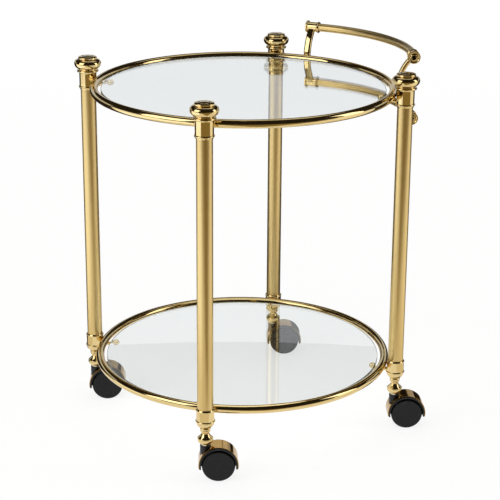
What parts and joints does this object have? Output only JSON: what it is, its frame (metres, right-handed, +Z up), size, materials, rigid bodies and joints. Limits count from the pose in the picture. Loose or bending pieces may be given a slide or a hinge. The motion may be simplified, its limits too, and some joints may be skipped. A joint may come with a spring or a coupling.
{
  "type": "dessert trolley",
  "caption": "Round tiered serving trolley: glass shelves in gold ring frames, turned finials on its posts, a bowed push handle, and hooded casters that swivel and roll.",
  "frame": {"origin": "centre of the whole outline seen from above, on the floor", "axes": "+Z up, +Y towards the handle at the back, +X to the right for someone who stands at the front"},
  "size_m": [0.4721, 0.5084, 0.6008],
  "materials": {
    "polished_gold": "mirror-polished plate",
    "brushed_gold": "fine satin brushing along the tube",
    "clear_glass": "clear float glass with ground edge",
    "plated_steel": "bright zinc plate",
    "dark_steel": "blackened",
    "black_nylon": "matt moulded"
  },
  "bodies": {
    "frame": {"upper_ring": "polished_gold", "lower_ring": "polished_gold", "upper_glass": "clear_glass", "lower_glass": "clear_glass", "upper_glass_pins": "polished_gold", "lower_glass_pins": "polished_gold", "top_inserts": "plated_steel", "bottom_inserts": "plated_steel", "post_tube_rear_right": "brushed_gold", "upper_sleeve_rear_right": "polished_gold", "finial_rear_right": "polished_gold", "foot_socket_rear_right": "polished_gold", "caster_stem_rear_right": "plated_steel", "post_tube_rear_left": "brushed_gold", "upper_sleeve_rear_left": "polished_gold", "finial_rear_left": "polished_gold", "foot_socket_rear_left": "polished_gold", "caster_stem_rear_left": "plated_steel", "post_tube_front_left": "brushed_gold", "upper_sleeve_front_left": "polished_gold", "finial_front_left": "polished_gold", "foot_socket_front_left": "polished_gold", "caster_stem_front_left": "plated_steel", "post_tube_front_right": "brushed_gold", "upper_sleeve_front_right": "polished_gold", "finial_front_right": "polished_gold", "foot_socket_front_right": "polished_gold", "caster_stem_front_right": "plated_steel", "handle_upper_rail": "brushed_gold", "handle_corner_upper_right": "polished_gold", "handle_corner_upper_left": "polished_gold", "handle_lower_rail": "brushed_gold", "handle_corner_lower_right": "polished_gold", "handle_corner_lower_left": "polished_gold", "handle_arm_right": "brushed_gold", "handle_arm_left": "brushed_gold", "handle_screws": "dark_steel"},
    "caster_rear_right": {"caster_body_rear_right": "black_nylon", "caster_hood_rear_right": "polished_gold", "caster_axle_rear_right": "plated_steel"},
    "wheel_near_rear_right": {"caster_wheel_near_rear_right": "black_nylon"},
    "wheel_far_rear_right": {"caster_wheel_far_rear_right": "black_nylon"},
    "caster_rear_left": {"caster_body_rear_left": "black_nylon", "caster_hood_rear_left": "polished_gold", "caster_axle_rear_left": "plated_steel"},
    "wheel_near_rear_left": {"caster_wheel_near_rear_left": "black_nylon"},
    "wheel_far_rear_left": {"caster_wheel_far_rear_left": "black_nylon"},
    "caster_front_left": {"caster_body_front_left": "black_nylon", "caster_hood_front_left": "polished_gold", "caster_axle_front_left": "plated_steel"},
    "wheel_near_front_left": {"caster_wheel_near_front_left": "black_nylon"},
    "wheel_far_front_left": {"caster_wheel_far_front_left": "black_nylon"},
    "caster_front_right": {"caster_body_front_right": "black_nylon", "caster_hood_front_right": "polished_gold", "caster_axle_front_right": "plated_steel"},
    "wheel_near_front_right": {"caster_wheel_near_front_right": "black_nylon"},
    "wheel_far_front_right": {"caster_wheel_far_front_right": "black_nylon"}
  },
  "joints": [
    {"name": "swivel_rear_right", "type": "hinge", "parent": "frame", "child": "caster_rear_right", "pos_m": [0.17678, 0.15866, 0.045], "axis": [0, 0, 1], "continuous": true},
    {"name": "roll_near_rear_right", "type": "hinge", "parent": "caster_rear_right", "child": "wheel_near_rear_right", "pos_m": [0.18643, 0.17537, 0.025], "axis": [-0.866, 0.5, 0], "continuous": true},
    {"name": "roll_far_rear_right", "type": "hinge", "parent": "caster_rear_right", "child": "wheel_far_rear_right", "pos_m": [0.18643, 0.17537, 0.025], "axis": [-0.866, 0.5, 0], "continuous": true},
    {"name": "swivel_rear_left", "type": "hinge", "parent": "frame", "child": "caster_rear_left", "pos_m": [-0.17678, 0.15866, 0.045], "axis": [0, 0, 1], "continuous": true},
    {"name": "roll_near_rear_left", "type": "hinge", "parent": "caster_rear_left", "child": "wheel_near_rear_left", "pos_m": [-0.16713, 0.17537, 0.025], "axis": [-0.866, 0.5, 0], "continuous": true},
    {"name": "roll_far_rear_left", "type": "hinge", "parent": "caster_rear_left", "child": "wheel_far_rear_left", "pos_m": [-0.16713, 0.17537, 0.025], "axis": [-0.866, 0.5, 0], "continuous": true},
    {"name": "swivel_front_left", "type": "hinge", "parent": "frame", "child": "caster_front_left", "pos_m": [-0.17678, -0.1949, 0.045], "axis": [0, 0, 1], "continuous": true},
    {"name": "roll_near_front_left", "type": "hinge", "parent": "caster_front_left", "child": "wheel_near_front_left", "pos_m": [-0.16713, -0.17818, 0.025], "axis": [-0.866, 0.5, 0], "continuous": true},
    {"name": "roll_far_front_left", "type": "hinge", "parent": "caster_front_left", "child": "wheel_far_front_left", "pos_m": [-0.16713, -0.17818, 0.025], "axis": [-0.866, 0.5, 0], "continuous": true},
    {"name": "swivel_front_right", "type": "hinge", "parent": "frame", "child": "caster_front_right", "pos_m": [0.17678, -0.1949, 0.045], "axis": [0, 0, 1], "continuous": true},
    {"name": "roll_near_front_right", "type": "hinge", "parent": "caster_front_right", "child": "wheel_near_front_right", "pos_m": [0.18643, -0.17818, 0.025], "axis": [-0.866, 0.5, 0], "continuous": true},
    {"name": "roll_far_front_right", "type": "hinge", "parent": "caster_front_right", "child": "wheel_far_front_right", "pos_m": [0.18643, -0.17818, 0.025], "axis": [-0.866, 0.5, 0], "continuous": true}
  ]
}
